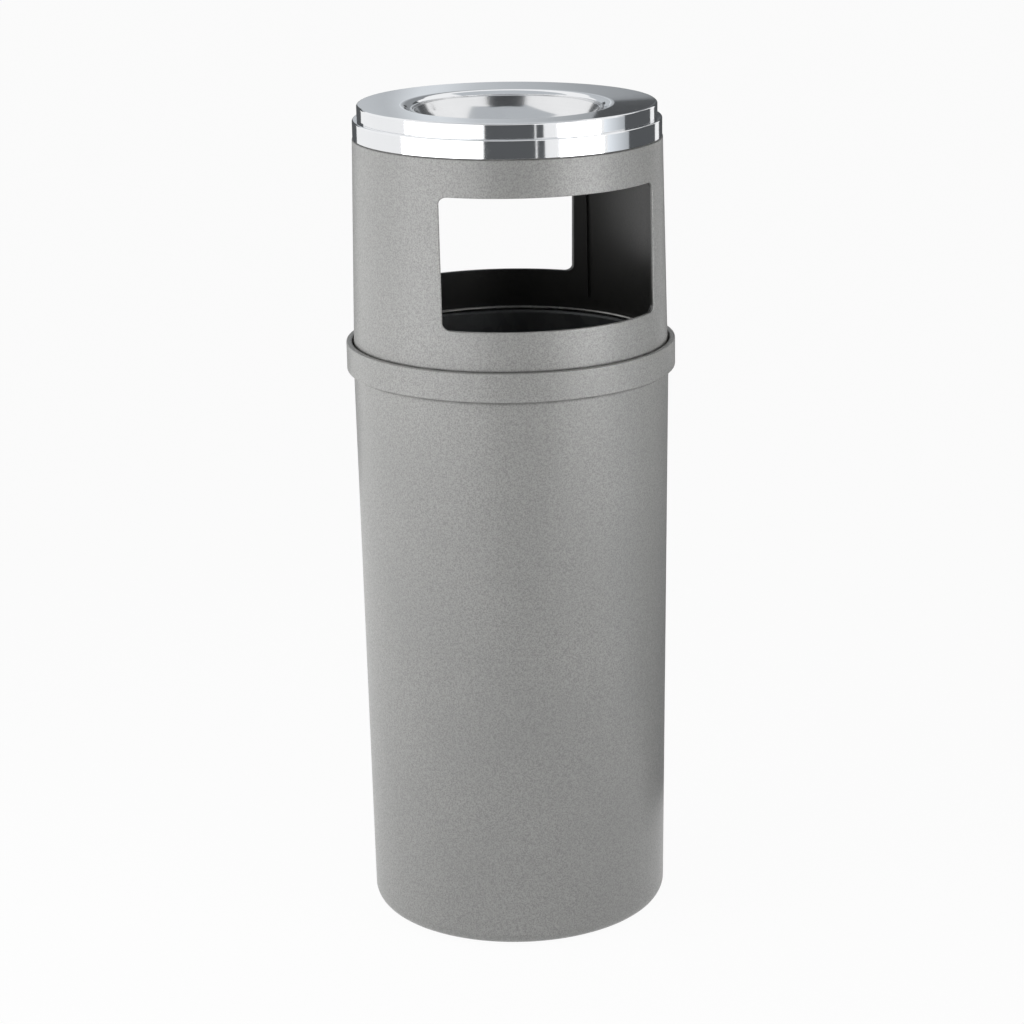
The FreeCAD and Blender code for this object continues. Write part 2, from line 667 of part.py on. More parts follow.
def ear_face(level):
    """Outer face of an ear: it follows the liner wall up to the rim and is upright above."""
    return f"({inner_liner_radius(level)} - ear_fit)"


def make_liner_ear(label, turn):
    body = new_body(label)
    top = f"({pivot_level} + ear_rise)"
    bottom = f"({bead_level} - ear_length)"
    profile = draw_profile(new_sketch(body, "ear_profile", "XZ_Plane"), [
        (f"{ear_face(bottom)} - ear_sheet", bottom),
        (ear_face(bottom), bottom),
        (ear_face(bead_level), bead_level),
        (ear_face(bead_level), top),
        (f"{ear_face(bead_level)} - ear_sheet", top),
        (f"{ear_face(bead_level)} - ear_sheet", bead_level),
    ])
    revolve(body, "ear", profile, angle=arc_angle("ear_width", ear_face(bead_level)))
    holes = [(name, f"{bead_level} - ({drop})", "rivet_shank + rivet_fit") for name, drop in rivet_rows()]
    holes.append(("pivot", pivot_level, "bail_wire + pivot_fit"))
    for name, level, radius in holes:
        sketch = draw_circle(new_sketch(body, f"{name}_hole_profile", "YZ_Plane"), "0", level, radius)
        extrude(body, f"{name}_hole", "Pocket", sketch, f"2 * {collar_radius}", both_ways=True)
    top_level = number(top)

    def at_upper_corner(edge):
        straight = edge.Curve.TypeId == "Part::GeomLine"
        return straight and all(abs(vertex.Z - top_level) < number("ear_fit") for vertex in edge.Vertexes)

    round_edges(body, "ear_corners", "ear_corner", at_upper_corner)
    body.Placement = Placement(Vector(), Rotation(Vector(0, 0, 1), turn))
    return body


def make_ear_rivets():
    body = new_body("ear_rivets")
    rivets = []
    for name, drop in rivet_rows():
        level = f"({bead_level} - ({drop}))"
        inner_face = f"({ear_face(level)} - ear_sheet - rivet_fit)"
        outer_face = f"({inner_liner_radius(level)} + liner_sheet + rivet_fit)"
        sketch = draw_profile(new_sketch(body, f"{name}_profile", "XZ_Plane", {"y": level}), [
            (f"{inner_face} - rivet_head_height", "0"),
            (f"{outer_face} + rivet_head_height", "0"),
            (f"{outer_face} + rivet_head_height", "rivet_head", "rivet_head_round"),
            (outer_face, "rivet_head"),
            (outer_face, "rivet_shank"),
            (inner_face, "rivet_shank"),
            (inner_face, "rivet_head"),
            (f"{inner_face} - rivet_head_height", "rivet_head", "rivet_head_round"),
        ])
        rivets.append(revolve(body, name, sketch, axis="H_Axis"))
    repeat_round(body, "rivets", rivets, "2")
    return body


def make_liner_bail():
    """A half circle of wire with ends bent inward through the ears, lying on the rim at the +Y side."""
    body = new_body("liner_bail")
    end = f"({ear_face(bead_level)} - ear_sheet - bail_end)"
    radius, bend = number(bail_radius), number("bail_bend")
    bend_x = math.sqrt((radius - bend) ** 2 - bend ** 2)
    meeting = math.atan2(bend, bend_x)
    up = Vector(0, 0, 1)
    spine = new_sketch(body, "bail_path", "XY_Plane", {"z": pivot_level})
    tip = Vector(number(end), 0, 0)
    half_turn = math.pi
    right_bend = Part.Circle(Vector(bend_x, bend, 0), up, bend)
    left_bend = Part.Circle(Vector(-bend_x, bend, 0), up, bend)
    right_end = spine.addGeometry(Part.LineSegment(tip, Vector(bend_x, 0, 0)))
    right_arc = spine.addGeometry(Part.ArcOfCircle(right_bend, -half_turn / 2, meeting))
    hoop = spine.addGeometry(Part.ArcOfCircle(Part.Circle(Vector(), up, radius), meeting, half_turn - meeting))
    left_arc = spine.addGeometry(Part.ArcOfCircle(left_bend, half_turn - meeting, 1.5 * half_turn))
    left_end = spine.addGeometry(Part.LineSegment(Vector(-bend_x, 0, 0), -tip))
    pieces = (right_end, right_arc, hoop, left_arc, left_end)
    for first, second in zip(pieces, pieces[1:]):
        add_constraint(spine, "Tangent", first, 2, second, 1)
    add_constraint(spine, "Coincident", hoop, 3, -1, 1)
    add_constraint(spine, "Radius", hoop, size=bail_radius)
    for arc in (right_arc, left_arc):
        add_constraint(spine, "Radius", arc, size="bail_bend")
    for straight in (right_end, left_end):
        add_constraint(spine, "Horizontal", straight)
    place_point(spine, right_end, 1, end, "0")
    place_point(spine, left_end, 2, f"-{end}", "0")
    section = new_sketch(body, "bail_section", "YZ_Plane", {"z": end})
    draw_circle(section, "0", pivot_level, "bail_wire")
    pipe = body.newObject("PartDesign::AdditivePipe", "bail")
    pipe.Profile = section
    pipe.Spine = spine
    return body


def check_document():
    """Stop if any object failed or any piece has no valid solid."""
    failed = [item.Label for item in doc.Objects if "Invalid" in item.State or "Error" in item.State]
    broken = [body.Label for body in bodies if body.Shape.isNull() or not body.Shape.isValid()]
    if failed or broken:
        raise RuntimeError(f"failed: {failed}, broken: {broken}")


bodies = [
    make_base_shell(),
    make_liner_wall(),
    make_liner_floor(),
    make_liner_rim_wire(),
    make_liner_ear("liner_ear_right", 0),
    make_liner_ear("liner_ear_left", 180),
    make_ear_rivets(),
    make_liner_bail(),
    make_hood_shell(),
    make_trim_ring(),
    make_trim_ring_screws(),
    make_ashtray_top(),
    make_locating_tabs(),
    make_ash_bowl(),
]
doc.recompute()
check_document()
os.makedirs("parts", exist_ok=True)
for body in bodies:
    body.Shape.exportStep(f"parts/{body.Label}.step")
    print(f"{body.Label}: {len(body.Shape.Solids)} solids, {body.Shape.Volume / 1000:.1f} cubic centimetres")
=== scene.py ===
import math

import bpy
import numpy as np
from mathutils import Matrix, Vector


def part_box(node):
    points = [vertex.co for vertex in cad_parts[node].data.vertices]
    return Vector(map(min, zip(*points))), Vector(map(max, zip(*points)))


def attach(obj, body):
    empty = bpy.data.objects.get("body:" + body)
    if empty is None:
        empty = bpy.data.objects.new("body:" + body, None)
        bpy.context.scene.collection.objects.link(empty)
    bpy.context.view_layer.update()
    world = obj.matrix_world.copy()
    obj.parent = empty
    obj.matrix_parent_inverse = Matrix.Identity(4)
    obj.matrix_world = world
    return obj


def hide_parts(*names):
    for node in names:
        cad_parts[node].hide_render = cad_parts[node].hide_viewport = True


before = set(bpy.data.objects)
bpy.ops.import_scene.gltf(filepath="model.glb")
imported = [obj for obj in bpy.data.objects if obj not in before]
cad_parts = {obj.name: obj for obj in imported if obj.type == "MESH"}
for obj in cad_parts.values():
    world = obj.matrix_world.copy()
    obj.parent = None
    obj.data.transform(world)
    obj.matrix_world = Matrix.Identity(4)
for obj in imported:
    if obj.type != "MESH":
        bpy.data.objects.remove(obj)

# Trash can with an ashtray top: a grey moulded base and hood, a polished ring and cap,
# a spun ash bowl, and a galvanised liner with a wire handle inside. Metres, floor at z = 0.

scene = bpy.context.scene
scene.view_settings.view_transform = "Standard"
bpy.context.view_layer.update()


def addObject(name, data):
    made = bpy.data.objects.new(name, data)
    scene.collection.objects.link(made)
    return made


# camera: one long lens, a little above the rim, set from the ellipses of the ring and the foot
camera = {
    "azimuth": -19.6,       # degrees round the can, 0 is straight in front of an opening
    "distance": 3.2860,     # from the axis, measured level
    "height": 1.4552,
    "pan": -0.0365,         # radians, off the line to the axis
    "pitch": 0.2846,        # radians, downward
    "roll": -0.0067,
    "lens": 98.35,
    "sensor": 36.0,
    "shift": -0.0977,       # the photo is the left part of a wider frame
}


def around(turn, distance, height):
    # a point at a turn (degrees) to the right of the camera's own side of the can
    angle = math.radians(camera["azimuth"] + turn)
    return distance * math.sin(angle), -distance * math.cos(angle), height


def placeCamera():
    lens = bpy.data.cameras.new("photoLens")
    lens.lens, lens.sensor_width, lens.sensor_fit = camera["lens"], camera["sensor"], "HORIZONTAL"
    lens.shift_x = camera["shift"]
    eye = addObject("photoCamera", lens)
    heading = Matrix.Rotation(math.radians(camera["azimuth"]) + camera["pan"], 4, "Z")
    downward = Matrix.Rotation(math.pi / 2 - camera["pitch"], 4, "X")
    place = Matrix.Translation(around(0, camera["distance"], camera["height"]))
    eye.matrix_world = place @ heading @ downward @ Matrix.Rotation(camera["roll"], 4, "Z")
    scene.camera = eye


placeCamera()
print("camera placed")


# shader helpers
def addNode(tree, kind, inputs=None, **settings):
    node = tree.nodes.new(kind)
    for name, value in settings.items():
        setattr(node, name, value)
    for name, value in (inputs or {}).items():
        if isinstance(value, bpy.types.NodeSocket):
            tree.links.new(value, node.inputs[name])
        else:
            node.inputs[name].default_value = value
    return node


def mathOf(tree, operation, first, second=0.0):
    return addNode(tree, "ShaderNodeMath", {0: first, 1: second}, operation=operation).outputs[0]


def spread(tree, value, fromLow, fromHigh, toLow=0.0, toHigh=1.0):
    inputs = {0: value, 1: fromLow, 2: fromHigh, 3: toLow, 4: toHigh}
    return addNode(tree, "ShaderNodeMapRange", inputs).outputs[0]


def mixColour(tree, factor, first, second):
    return addNode(tree, "ShaderNodeMix", {0: factor, 6: first, 7: second}, data_type="RGBA").outputs[2]


def newGroup(name, inputs, outputs):
    group = bpy.data.node_groups.new(name, "ShaderNodeTree")
    for label, kind, value in inputs:
        socket = group.interface.new_socket(label, in_out="INPUT", socket_type="NodeSocket" + kind)
        if value is not None:
            socket.default_value = value
    for label in outputs:
        group.interface.new_socket(label, in_out="OUTPUT", socket_type="NodeSocketFloat")
    return group, addNode(group, "NodeGroupInput").outputs, addNode(group, "NodeGroupOutput").inputs


def useGroup(tree, group, inputs):
    return addNode(tree, "ShaderNodeGroup", inputs, node_tree=group).outputs


def noise(tree, place, scale, detail, rough):
    inputs = {"Vector": place, "Scale": scale, "Detail": detail, "Roughness": rough}
    return addNode(tree, "ShaderNodeTexNoise", inputs).outputs[0]


# x, y and z of a place, and how far it lies from the can's axis
def splitPlace(tree, place):
    apart = addNode(tree, "ShaderNodeSeparateXYZ", {0: place}).outputs
    squares = [mathOf(tree, "MULTIPLY", apart[axis], apart[axis]) for axis in (0, 1)]
    return apart[0], apart[1], apart[2], mathOf(tree, "SQRT", mathOf(tree, "ADD", *squares))


# sandy grain: two noises, one half as fine, added as a height, and the bright tops as flecks
def makeSandyGrain():
    inputs = [("Place", "Vector", None), ("Grains per metre", "Float", 600.0)]
    tree, given, put = newGroup("sandyGrain", inputs, ["Height", "Fleck"])
    fine = noise(tree, given["Place"], given["Grains per metre"], 2.0, 0.6)
    coarse = noise(tree, given["Place"], mathOf(tree, "MULTIPLY", given["Grains per metre"], 0.5), 1.0, 0.5)
    fineShare, coarseShare = 0.75, 0.25
    height = mathOf(tree, "ADD", mathOf(tree, "MULTIPLY", fine, fineShare),
                    mathOf(tree, "MULTIPLY", coarse, coarseShare))
    tree.links.new(height, put["Height"])
    tree.links.new(spread(tree, height, 0.38, 0.62), put["Fleck"])
    return tree


# patches: a slow noise, for tone that drifts over a surface
def makePatches():
    inputs = [("Place", "Vector", None), ("Patches per metre", "Float", 8.0)]
    tree, given, put = newGroup("patches", inputs, ["Tone"])
    tone = noise(tree, given["Place"], given["Patches per metre"], 3.0, 0.55)
    tree.links.new(spread(tree, tone, 0.3, 0.7), put["Tone"])
    return tree


# lathe marks: noise on (radius, height) with hardly any turn, so that it draws rings round the axis
def makeLatheMarks():
    inputs = [("Place", "Vector", None), ("Marks per metre", "Float", 1500.0)]
    tree, given, put = newGroup("latheMarks", inputs, ["Mark", "Sweep"])
    across, along, height, radius = splitPlace(tree, given["Place"])
    angle = mathOf(tree, "ARCTAN2", along, across)
    drift = mathOf(tree, "MULTIPLY", angle, 0.0004)
    ring = addNode(tree, "ShaderNodeCombineXYZ", {0: radius, 1: height, 2: drift})
    tree.links.new(noise(tree, ring.outputs[0], given["Marks per metre"], 2.0, 0.6), put["Mark"])
    facing = addNode(tree, "ShaderNodeCombineXYZ", {0: mathOf(tree, "COSINE", angle), 1: mathOf(tree, "SINE", angle)})
    tree.links.new(noise(tree, facing.outputs[0], 3.5, 2.0, 0.5), put["Sweep"])
    return tree


# rub marks: a noise drawn out along one way and cut high, so that only thin scratches are left
def makeRubMarks():
    inputs = [("Place", "Vector", None), ("Marks per metre", "Float", 90.0)]
    tree, given, put = newGroup("rubMarks", inputs, ["Mark"])
    drawing = {"Vector": given["Place"], "Rotation": (0.4, 0.9, 0.3), "Scale": (1.0, 14.0, 1.0)}
    turned = addNode(tree, "ShaderNodeMapping", drawing).outputs[0]
    drawn = noise(tree, turned, given["Marks per metre"], 1.0, 0.4)
    tree.links.new(spread(tree, drawn, 0.66, 0.72), put["Mark"])
    return tree


# inner side: 1 where a point lies deeper than a skin inside the wall, whose radius runs evenly
# from one level to another, and above the floor inside; it places the painted shade on the inner walls
def makeInnerSide():
    inputs = [("Place", "Vector", None), ("Floor", "Float", 0.0), ("Low level", "Float", 0.0),
              ("High level", "Float", 1.0), ("Low radius", "Float", 0.1), ("High radius", "Float", 0.1)]
    tree, given, put = newGroup("innerSide", inputs, ["Inside"])
    level, radius = splitPlace(tree, given["Place"])[2:]
    wall = spread(tree, level, given["Low level"], given["High level"], given["Low radius"], given["High radius"])
    skinStart, skinEnd = 0.0028, 0.0042
    deep = spread(tree, mathOf(tree, "SUBTRACT", wall, radius), skinStart, skinEnd)
    above = mathOf(tree, "GREATER_THAN", level, given["Floor"])
    tree.links.new(mathOf(tree, "MULTIPLY", deep, above), put["Inside"])
    return tree


# seam shade: painted shade, 1 along a ring at one level and radius, fading evenly with the distance from it,
# and thicker and thinner along the seam with a slow noise
def makeSeamDirt():
    inputs = [("Place", "Vector", None), ("Level", "Float", 0.5), ("Radius", "Float", 0.1), ("Reach", "Float", 0.003)]
    tree, given, put = newGroup("seamDirt", inputs, ["Dirt"])
    level, radius = splitPlace(tree, given["Place"])[2:]
    across = mathOf(tree, "SUBTRACT", radius, given["Radius"])
    along = mathOf(tree, "SUBTRACT", level, given["Level"])
    distance = mathOf(tree, "SQRT", mathOf(tree, "ADD", mathOf(tree, "MULTIPLY", across, across),
                                           mathOf(tree, "MULTIPLY", along, along)))
    near = spread(tree, mathOf(tree, "DIVIDE", distance, given["Reach"]), 0.35, 1.0, 1.0, 0.0)
    uneven = spread(tree, noise(tree, given["Place"], 40.0, 3.0, 0.6), 0.3, 0.7, 0.35, 0.75)
    tree.links.new(mathOf(tree, "MULTIPLY", near, uneven), put["Dirt"])
    return tree


sandyGrain, patches, latheMarks = makeSandyGrain(), makePatches(), makeLatheMarks()
rubMarks, innerSide, seamDirt = makeRubMarks(), makeInnerSide(), makeSeamDirt()


def emptyMaterial(name):
    material = bpy.data.materials.new(name)
    material.use_nodes = True
    material.node_tree.nodes.clear()
    return material, material.node_tree


def newMaterial(name, settings):
    material, tree = emptyMaterial(name)
    surface = addNode(tree, "ShaderNodeBsdfPrincipled", settings)
    addNode(tree, "ShaderNodeOutputMaterial", {"Surface": surface.outputs[0]})
    place = addNode(tree, "ShaderNodeTexCoord").outputs["Object"]
    return material, tree, surface.inputs, place


def bump(tree, height, strength, distance):
    inputs = {"Height": height, "Strength": strength, "Distance": distance}
    return addNode(tree, "ShaderNodeBump", inputs).outputs[0]


# grey moulded plastic with a sandy skin, with painted shade darkening the inner walls and painted shade in the seams
mouldedGrey = {
    "tone": (0.262, 0.262, 0.255, 1),
    "fleck": (0.408, 0.408, 0.398, 1),
    "worn": (0.272, 0.275, 0.272, 1),
    # painted shade for the inner walls
    "inside": (0.026, 0.026, 0.0245, 1),
    # painted shade for the seams between parts
    "seamShadeColour": (0.030, 0.030, 0.027, 1),
    "grainsPerMetre": 640.0,
    "patchesPerMetre": 7.0,
    "patchShare": 0.3,
    "rubsPerMetre": 34.0,
    "rubShare": 0.12,
    "specular": 0.65,
    "roughness": (0.30, 0.42),
    "bumpStrength": 0.42,
    "bumpDepth": 0.0005,
}
baseWall = {"Floor": 0.017, "Low level": 0.0, "High level": 0.680, "Low radius": 0.1814, "High radius": 0.189}
hoodWall = {"Floor": 0.0, "Low level": 0.7155, "High level": 0.958, "Low radius": 0.1879, "High radius": 0.1828}
# rings of painted shade where the parts meet
baseSeams = [
    {"Level": 0.7150, "Radius": 0.1900, "Reach": 0.0030},       # where the hood goes in
    {"Level": 0.6795, "Radius": 0.1905, "Reach": 0.0034},       # under the collar
]
hoodSeams = [
    {"Level": 0.7150, "Radius": 0.1885, "Reach": 0.0024},       # at the collar
    {"Level": 0.9576, "Radius": 0.1828, "Reach": 0.0022},       # under the polished ring
]


def makeMouldedGrey(name, wall, seams):
    kit = mouldedGrey
    material, tree, put, place = newMaterial(name, {"Specular IOR Level": kit["specular"]})
    grain = useGroup(tree, sandyGrain, {"Place": place, "Grains per metre": kit["grainsPerMetre"]})
    drift = useGroup(tree, patches, {"Place": place, "Patches per metre": kit["patchesPerMetre"]})["Tone"]
    rubbed = useGroup(tree, rubMarks, {"Place": place, "Marks per metre": kit["rubsPerMetre"]})["Mark"]
    inside = useGroup(tree, innerSide, {"Place": place, **wall})["Inside"]
    colour = mixColour(tree, grain["Fleck"], kit["tone"], kit["fleck"])
    colour = mixColour(tree, mathOf(tree, "MULTIPLY", drift, kit["patchShare"]), colour, kit["worn"])
    colour = mixColour(tree, mathOf(tree, "MULTIPLY", rubbed, kit["rubShare"]), colour, kit["fleck"])
    # the inner walls take the painted shade
    colour = mixColour(tree, inside, colour, kit["inside"])
    # each seam takes a ring of painted shade
    for seam in seams:
        colour = mixColour(tree, useGroup(tree, seamDirt, {"Place": place, **seam})["Dirt"], colour, kit["seamShadeColour"])
    tree.links.new(colour, put["Base Color"])
    smooth, rough = kit["roughness"]
    tree.links.new(spread(tree, grain["Fleck"], 0.0, 1.0, rough, smooth), put["Roughness"])
    tree.links.new(bump(tree, grain["Height"], kit["bumpStrength"], kit["bumpDepth"]), put["Normal"])
    return material


# polished sheet metal: fine rings from the polishing wheel, drawn round the axis
polishedMetal = {
    "tone": (0.885, 0.895, 0.91, 1),
    "dull": (0.80, 0.81, 0.825, 1),
    "roughness": (0.04, 0.09),
    "stretch": 0.55,
    "marksPerMetre": 2600.0,
}
spunMetal = {
    "tone": (0.84, 0.845, 0.855, 1),
    "dull": (0.72, 0.725, 0.735, 1),
    "roughness": (0.10, 0.18),
    "stretch": 0.7,
    "marksPerMetre": 1500.0,
}
turnedMarks = {
    "markShare": 0.5,           # how much marks and patches dull the tone
    "patchShare": 0.3,
    "patchesPerMetre": 26.0,
    "sweepShare": 0.7,          # how much sweeps and rubs roughen it
    "rubShare": 0.3,
    "rubsPerMetre": 120.0,
    "bumpStrength": 0.03,
    "bumpDepth": 0.0001,
}


def makeTurnedMetal(name, kit):
    wear = turnedMarks
    material, tree, put, place = newMaterial(name, {"Metallic": 1.0, "Anisotropic": kit["stretch"]})
    marks = useGroup(tree, latheMarks, {"Place": place, "Marks per metre": kit["marksPerMetre"]})
    drift = useGroup(tree, patches, {"Place": place, "Patches per metre": wear["patchesPerMetre"]})["Tone"]
    rubbed = useGroup(tree, rubMarks, {"Place": place, "Marks per metre": wear["rubsPerMetre"]})["Mark"]
    dulled = mathOf(tree, "ADD", mathOf(tree, "MULTIPLY", marks["Mark"], wear["markShare"]),
                    mathOf(tree, "MULTIPLY", drift, wear["patchShare"]))
    tree.links.new(mixColour(tree, dulled, kit["tone"], kit["dull"]), put["Base Color"])
    rough = mathOf(tree, "ADD", mathOf(tree, "MULTIPLY", marks["Sweep"], wear["sweepShare"]),
                   mathOf(tree, "MULTIPLY", rubbed, wear["rubShare"]))
    tree.links.new(spread(tree, rough, 0.1, 0.8, *kit["roughness"]), put["Roughness"])
    tree.links.new(bump(tree, marks["Mark"], wear["bumpStrength"], wear["bumpDepth"]), put["Normal"])
    tree.links.new(addNode(tree, "ShaderNodeTangent", direction_type="RADIAL", axis="Z").outputs[0], put["Tangent"])
    return material


# zinc: flat crystals a centimetre across, each its own grey, with patches of dull bloom over them; all the greys are
# kept far below bare zinc, as painted shade for the liner deep in the can
zincCoat = {
    # greys far darker than bare zinc: painted shade
    "bright": (0.17, 0.175, 0.18, 1),
    "dark": (0.12, 0.125, 0.13, 1),
    "bloom": (0.14, 0.14, 0.137, 1),
    "crystalsPerMetre": 95.0,
    "bloomsPerMetre": 16.0,
    "bloomShare": 0.4,
    "rubsPerMetre": 60.0,
    "rubShare": 0.3,
    "metallic": 0.85,
    "roughness": (0.46, 0.66),
    "bumpStrength": 0.08,
    "bumpDepth": 0.0002,
}


def makeZincCoat():
    kit = zincCoat
    material, tree, put, place = newMaterial("galvanisedSheet", {"Metallic": kit["metallic"]})
    cells = addNode(tree, "ShaderNodeTexVoronoi", {"Vector": place, "Scale": kit["crystalsPerMetre"]})
    shade = addNode(tree, "ShaderNodeSeparateXYZ", {0: cells.outputs["Color"]}).outputs[0]
    bloom = useGroup(tree, patches, {"Place": place, "Patches per metre": kit["bloomsPerMetre"]})["Tone"]
    rubbed = useGroup(tree, rubMarks, {"Place": place, "Marks per metre": kit["rubsPerMetre"]})["Mark"]
    colour = mixColour(tree, shade, kit["dark"], kit["bright"])
    colour = mixColour(tree, mathOf(tree, "MULTIPLY", bloom, kit["bloomShare"]), colour, kit["bloom"])
    colour = mixColour(tree, mathOf(tree, "MULTIPLY", rubbed, kit["rubShare"]), colour, kit["bright"])
    tree.links.new(colour, put["Base Color"])
    tree.links.new(spread(tree, mathOf(tree, "ADD", shade, bloom), 0.2, 1.8, *kit["roughness"]), put["Roughness"])
    tree.links.new(bump(tree, shade, kit["bumpStrength"], kit["bumpDepth"]), put["Normal"])
    return material


# plain steel wire and fasteners: a fine grain, a thin dull film in patches and small rubs
plainSteel = {
    "tone": (0.42, 0.42, 0.41, 1),
    "film": (0.27, 0.26, 0.25, 1),
    "filmsPerMetre": 60.0,
    "filmShare": 0.7,
    "rubsPerMetre": 300.0,
    "grainsPerMetre": 1800.0,
    "roughness": (0.26, 0.46),
    "bumpStrength": 0.1,
    "bumpDepth": 0.0001,
}


def makePlainSteel():
    kit = plainSteel
    material, tree, put, place = newMaterial("plainSteel", {"Metallic": 1.0})
    film = useGroup(tree, patches, {"Place": place, "Patches per metre": kit["filmsPerMetre"]})["Tone"]
    rubbed = useGroup(tree, rubMarks, {"Place": place, "Marks per metre": kit["rubsPerMetre"]})["Mark"]
    grain = useGroup(tree, sandyGrain, {"Place": place, "Grains per metre": kit["grainsPerMetre"]})
    colour = mixColour(tree, mathOf(tree, "MULTIPLY", film, kit["filmShare"]), kit["tone"], kit["film"])
    tree.links.new(mixColour(tree, rubbed, colour, kit["tone"]), put["Base Color"])
    dulled = mathOf(tree, "ADD", film, grain["Fleck"])
    tree.links.new(spread(tree, dulled, 0.2, 1.8, *kit["roughness"]), put["Roughness"])
    tree.links.new(bump(tree, grain["Height"], kit["bumpStrength"], kit["bumpDepth"]), put["Normal"])
    return material


greyBase = makeMouldedGrey("greyBase", baseWall, baseSeams)
greyHood = makeMouldedGrey("greyHood", hoodWall, hoodSeams)
brightBand = makeTurnedMetal("polishedBand", polishedMetal)
brightBowl = makeTurnedMetal("spunBowl", spunMetal)
zincSheet, steelWire = makeZincCoat(), makePlainSteel()
print("materials made")


# Corners (radius, height, rounding) become a line: each corner is an arc that touches both of its
# runs, centre plus rounding swept evenly from one run to the other, and the sweep is also its normal.
def roundedLine(corners, steps):
    rows = np.array(corners, float)
    point, rounding = rows[:, :2], rows[:, 2:]
    back = np.roll(point, 1, 0) - point
    ahead = np.roll(point, -1, 0) - point
    back /= np.linalg.norm(back, axis=1, keepdims=True)
    ahead /= np.linalg.norm(ahead, axis=1, keepdims=True)
    half = np.arccos(np.clip((back * ahead).sum(1, keepdims=True), -1, 1)) / 2
    middle = back + ahead
    middle /= np.linalg.norm(middle, axis=1, keepdims=True)
    leftward = np.sign(back[:, :1] * ahead[:, 1:] - back[:, 1:] * ahead[:, :1]) * -1
    first = (back * np.cos(half) - middle)[:, None]
    last = (ahead * np.cos(half) - middle)[:, None]
    share = np.linspace(0, 1, steps)[None, :, None]
    opened = (math.pi - 2 * half)[:, None]
    sweep = (np.sin((1 - share) * opened) * first + np.sin(share * opened) * last) / np.sin(opened)
    sweep /= np.linalg.norm(sweep, axis=2, keepdims=True)
    centre = point + middle * rounding / np.sin(half)
    line = centre[:, None] + sweep * rounding[:, None]
    return line.reshape(-1, 2), (sweep * leftward[:, None]).reshape(-1, 2)


# A turned piece: the line's radius and height carried round the axis, one copy to a step of the turn.
# A poled piece starts and ends on the axis, so each of its two ends is closed with a fan of triangles.
def turnedPiece(name, corners, steps, turns, poled=False):
    line, normal = roundedLine(corners, steps)
    angle = np.arange(turns) * 2 * math.pi / turns
    wheel = np.stack([np.cos(angle), np.sin(angle)], 1)

    def carried(rows):
        heights = np.broadcast_to(rows[:, None, 1:], (len(rows), turns, 1))
        return np.concatenate([rows[:, None, :1] * wheel, heights], 2)

    if poled:
        line, normal = line[steps:-steps], normal[steps:-steps]
    count = len(line)
    points, normals = carried(line).reshape(-1, 3), carried(normal).reshape(-1, 3)
    row = np.arange(count - 1 if poled else count)[:, None] * turns
    after = (row + turns) % (count * turns)
    step = np.arange(turns)[None]
    ahead = (step + 1) % turns
    faces = np.stack([row + step, row + ahead, after + ahead, after + step], 2).reshape(-1, 4).tolist()
    if poled:
        poles = np.array([[0, 0, corners[0][1]], [0, 0, corners[-1][1]]])
        points = np.concatenate([points, poles])
        normals = np.concatenate([normals, [[0, 0, -1], [0, 0, 1]]])
        rim, far = np.arange(turns), (count - 1) * turns
        low = np.stack([np.full(turns, count * turns), (rim + 1) % turns, rim], 1)
        high = np.stack([np.full(turns, count * turns + 1), far + rim, far + (rim + 1) % turns], 1)
        faces += low.tolist() + high.tolist()
    mesh = bpy.data.meshes.new(name)
    mesh.from_pydata(points.tolist(), [], faces)
    mesh.shade_smooth()
    mesh.normals_split_custom_set_from_vertices(normals.tolist())
    return addObject(name, mesh)


def finishPiece(piece, material, body, slot, *nodes):
    piece.data.materials.append(material)
    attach(piece, body)
    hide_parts(*nodes)
    print(piece.name, len(piece.data.polygons), "faces")


# polished ring: an upright band with a flat top turned inward
trimRing = {"sheet": 0.0015, "flange": 0.0206, "topRound": 0.002, "cutRound": 0.00025,
            "steps": 7, "turns": 512}


def makeTrimRing():
    kit = trimRing
    low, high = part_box("trim_ring")
    outside, bottom, top = high.x, low.z, high.z
    hole, sheet, cut = outside - kit["flange"], kit["sheet"], kit["cutRound"]
    corners = [
        (outside, bottom, cut), (outside, top, kit["topRound"]), (hole, top, cut), (hole, top - sheet, cut),
        (outside - sheet, top - sheet, kit["topRound"] - sheet), (outside - sheet, bottom, cut),
    ]
    return turnedPiece("polishedRing", corners, kit["steps"], kit["turns"])


# ashtray cap: skirt, slightly dished rim, round lip that slants inward, and the seat that carries the bowl
ashtrayCap = {"sheet": 0.0015, "rim": 0.0555, "dish": 0.0025, "edgeRound": 0.0026, "lipRound": 0.013,
              "lipSlope": 0.006, "seatDepth": 0.0093, "seatWidth": 0.004, "cutRound": 0.00025,
              "steps": 9, "turns": 512}


def makeAshtrayCap():
    kit = ashtrayCap
    low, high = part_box("ashtray_top")
    outside, bottom, top = high.x, low.z, high.z
    lip, seat, sheet, cut = outside - kit["rim"], top - kit["seatDepth"], kit["sheet"], kit["cutRound"]
    lipTop, seatEdge = top - kit["dish"], lip - kit["lipSlope"]
    hole = seatEdge - kit["seatWidth"]
    under = sheet - sheet * kit["lipSlope"] / (kit["seatDepth"] - kit["dish"])
    corners = [
        (outside, bottom, cut), (outside, top, kit["edgeRound"]), (lip, lipTop, kit["lipRound"]),
        (seatEdge, seat, cut), (hole, seat, cut), (hole, seat - sheet, cut), (seatEdge + under, seat - sheet, cut),
        (lip + under, lipTop - sheet, kit["lipRound"] - sheet),
        (outside - sheet, top - sheet, kit["edgeRound"] - sheet), (outside - sheet, bottom, cut),
    ]
    return turnedPiece("ashtrayCap", corners, kit["steps"], kit["turns"])


# ash bowl: a flat floor, a wide round up to a slanted wall, and a rolled edge on the seat
ashBowl = {"sheet": 0.0012, "depth": 0.036, "slope": 0.022, "floorRound": 0.056, "entryRound": 0.001,
           "rimWidth": 0.0034, "rimHeight": 0.0028, "rimRound": 0.0008, "throatInset": 0.0052,
           "cutRound": 0.00025, "steps": 12, "turns": 448}


